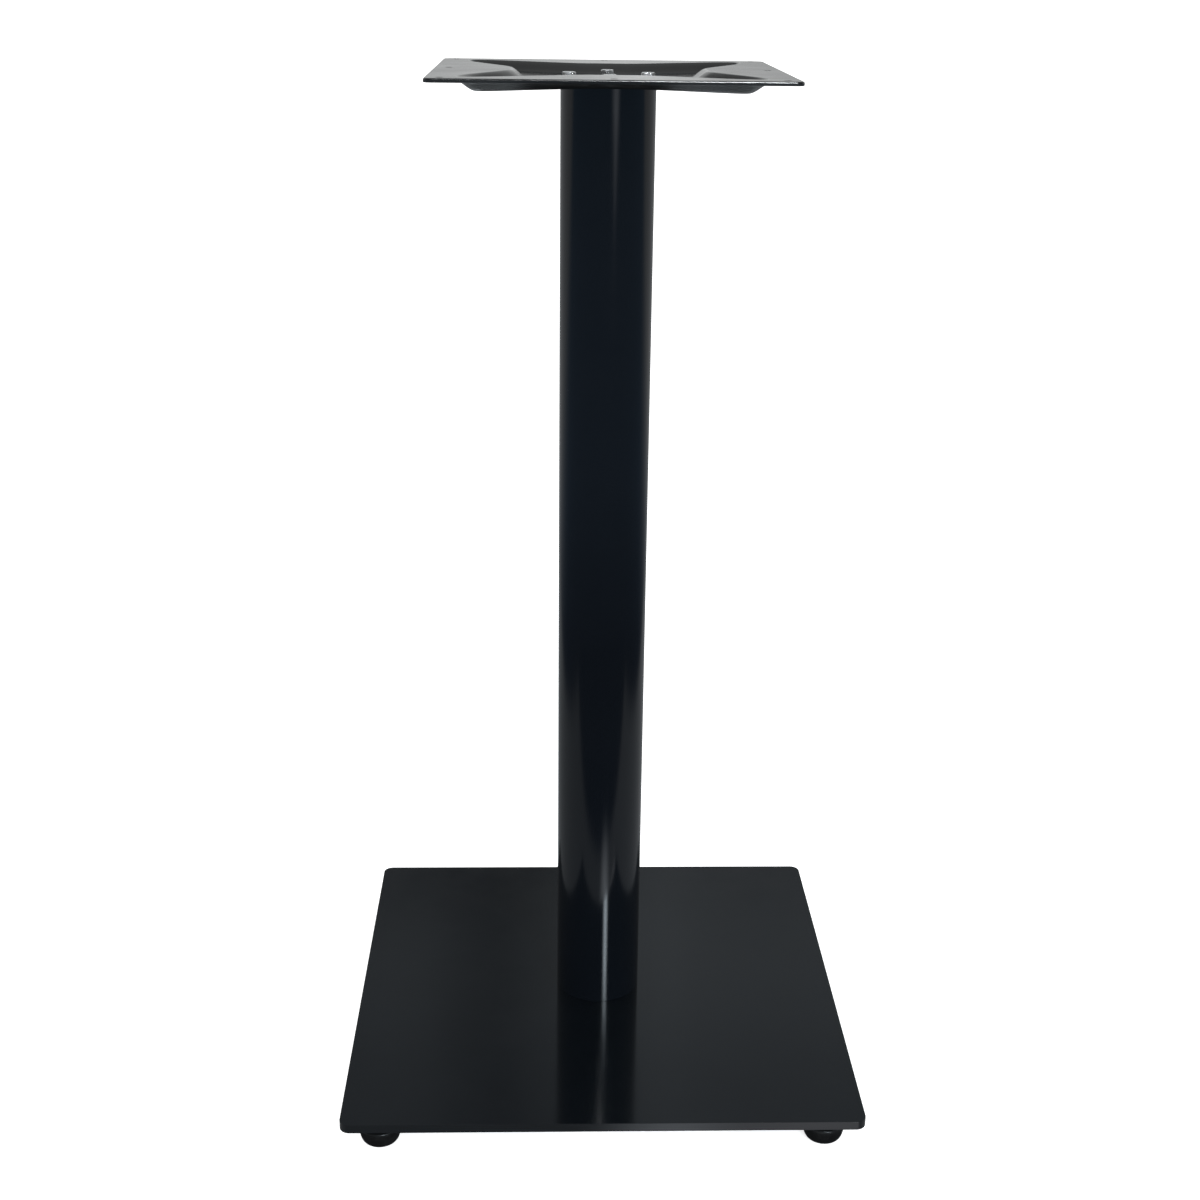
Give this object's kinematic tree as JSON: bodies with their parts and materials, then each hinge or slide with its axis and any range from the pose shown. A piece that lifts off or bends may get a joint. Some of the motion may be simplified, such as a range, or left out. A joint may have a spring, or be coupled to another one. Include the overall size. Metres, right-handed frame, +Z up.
{
  "type": "bar table base",
  "caption": "Bar-height pedestal base: square steel plate on levelling glides, round steel column, and a pressed square mounting plate with a star-shaped recess for a table top.",
  "frame": {"origin": "on the floor, on the column axis, with the glides at mid travel", "axes": "+Z up along the column, -Y to the front, +X to the right seen from the front"},
  "size_m": [0.55, 0.55, 1.08],
  "materials": {
    "base_plate_black": "satin black powder coat",
    "column_black": "gloss black powder coat",
    "mounting_plate_black": "satin black powder coat",
    "welded_steel": "raw steel with black overspray",
    "welded_nut_black": "black powder coat over a welded nut",
    "fastener_zinc": "bright zinc plating",
    "stud_zinc": "zinc plated thread",
    "glide_plastic": "moulded black plastic"
  },
  "bodies": {
    "frame": {"base_plate": "base_plate_black", "column_tube": "column_black", "column_foot_disc": "welded_steel", "column_head_disc": "welded_steel", "mounting_plate": "mounting_plate_black", "head_bolt_front": "fastener_zinc", "head_bolt_rear": "fastener_zinc", "head_bolt_left": "fastener_zinc", "head_bolt_right": "fastener_zinc", "head_washer_front": "fastener_zinc", "head_washer_rear": "fastener_zinc", "head_washer_left": "fastener_zinc", "head_washer_right": "fastener_zinc", "foot_bolt_front_left": "fastener_zinc", "foot_bolt_front_right": "fastener_zinc", "foot_bolt_rear_left": "fastener_zinc", "foot_bolt_rear_right": "fastener_zinc", "foot_washer_front_left": "fastener_zinc", "foot_washer_front_right": "fastener_zinc", "foot_washer_rear_left": "fastener_zinc", "foot_washer_rear_right": "fastener_zinc", "weld_nut_front_left": "welded_nut_black", "weld_nut_front_right": "welded_nut_black", "weld_nut_rear_left": "welded_nut_black", "weld_nut_rear_right": "welded_nut_black"},
    "glide_front_left": {"glide_stud_front_left": "stud_zinc", "glide_pad_front_left": "glide_plastic"},
    "glide_front_right": {"glide_stud_front_right": "stud_zinc", "glide_pad_front_right": "glide_plastic"},
    "glide_rear_left": {"glide_stud_rear_left": "stud_zinc", "glide_pad_rear_left": "glide_plastic"},
    "glide_rear_right": {"glide_stud_rear_right": "stud_zinc", "glide_pad_rear_right": "glide_plastic"}
  },
  "joints": [
    {"name": "glide_front_left_travel", "type": "slide", "parent": "frame", "child": "glide_front_left", "axis": [0, 0, 1], "range_m": [-0.006, 0.005]},
    {"name": "glide_front_right_travel", "type": "slide", "parent": "frame", "child": "glide_front_right", "axis": [0, 0, 1], "range_m": [-0.006, 0.005]},
    {"name": "glide_rear_left_travel", "type": "slide", "parent": "frame", "child": "glide_rear_left", "axis": [0, 0, 1], "range_m": [-0.006, 0.005]},
    {"name": "glide_rear_right_travel", "type": "slide", "parent": "frame", "child": "glide_rear_right", "axis": [0, 0, 1], "range_m": [-0.006, 0.005]}
  ]
}
